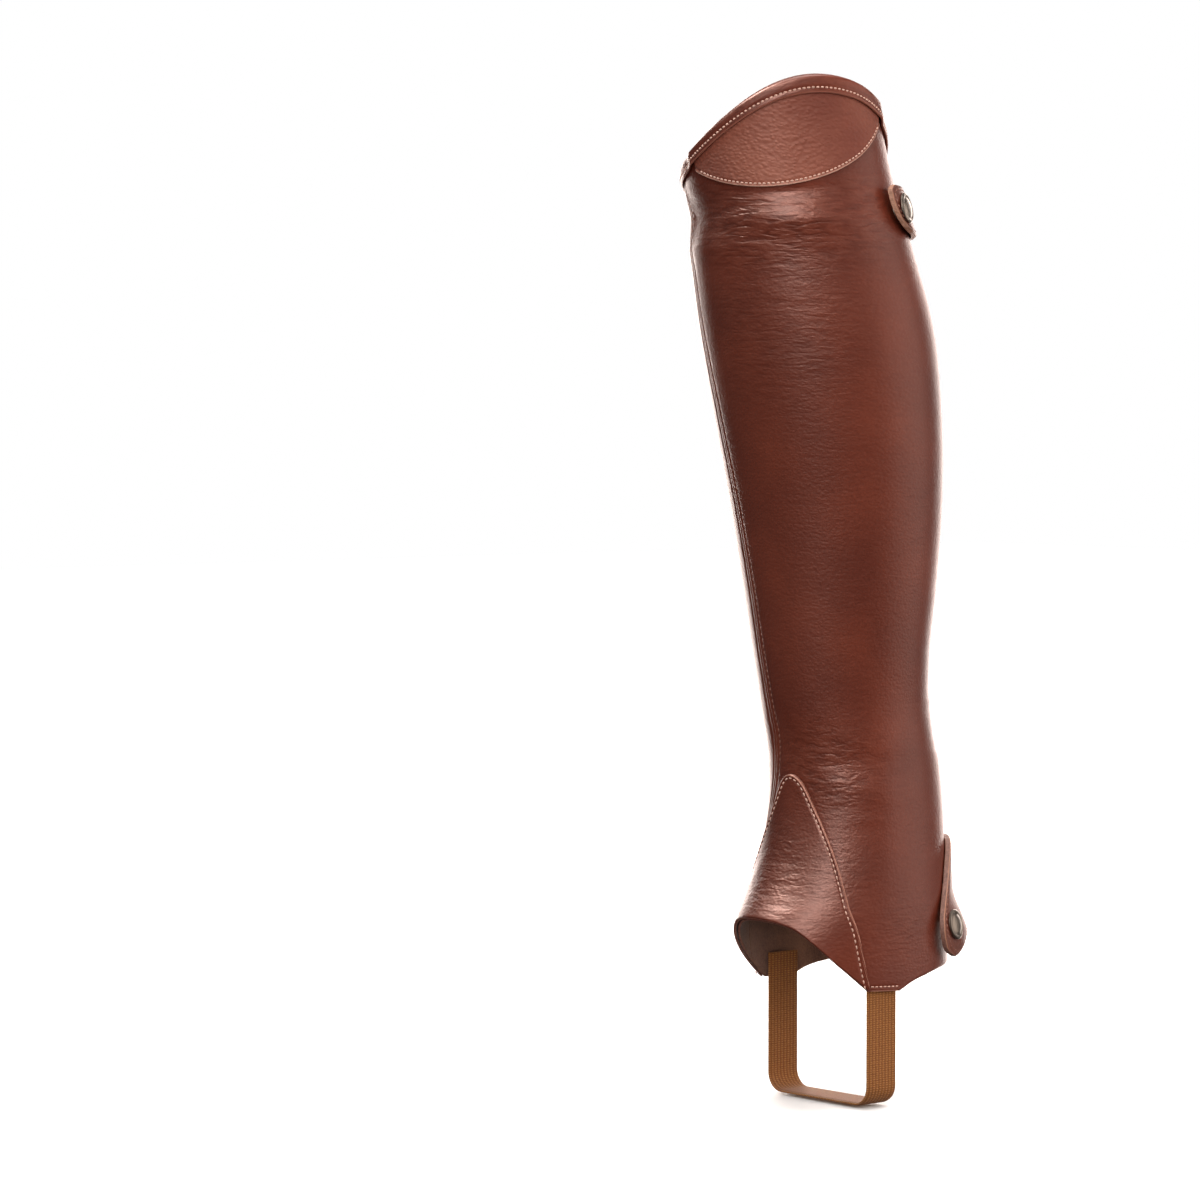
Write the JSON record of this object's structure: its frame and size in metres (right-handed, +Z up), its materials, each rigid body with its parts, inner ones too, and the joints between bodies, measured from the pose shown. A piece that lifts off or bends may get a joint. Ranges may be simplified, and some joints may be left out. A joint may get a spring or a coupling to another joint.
{
  "type": "half chap",
  "caption": "Knee-high leather half chap for a left leg, with a curved rim, instep gusset, back zip, snap tabs and a strap under the sole.",
  "frame": {"origin": "on the leg's axis, at the ankle's narrowest level", "axes": "+Z up the leg, -Y towards the toe, +X towards the outer side of a left leg, +Y towards the zip at the back"},
  "size_m": [0.1125, 0.1623, 0.4979],
  "materials": {
    "leather": "reddish brown pebbled full grain, satin",
    "tape": "dark brown woven zip tape",
    "metal": "polished nickel plate",
    "elastic": "tan brown ribbed elastic webbing"
  },
  "bodies": {
    "chap": {"outer_panel": "leather", "inner_panel": "leather", "cuff_panel": "leather", "top_binding": "leather", "instep_gusset": "leather", "zip_tape_outer": "tape", "zip_tape_inner": "tape", "zip_slider": "metal", "top_tab": "leather", "top_snap_cap": "metal", "top_snap_socket": "metal", "top_snap_stud": "metal", "bottom_tab": "leather", "bottom_snap_cap": "metal", "bottom_snap_socket": "metal", "bottom_snap_stud": "metal", "foot_strap": "elastic"},
    "pull": {"zip_pull": "metal"}
  },
  "joints": [
    {"name": "pull_swing", "type": "hinge", "parent": "chap", "child": "pull", "pos_m": [0, 0.03298, 0.21256], "axis": [1, 0, 0], "range_deg": [0, 140]}
  ]
}
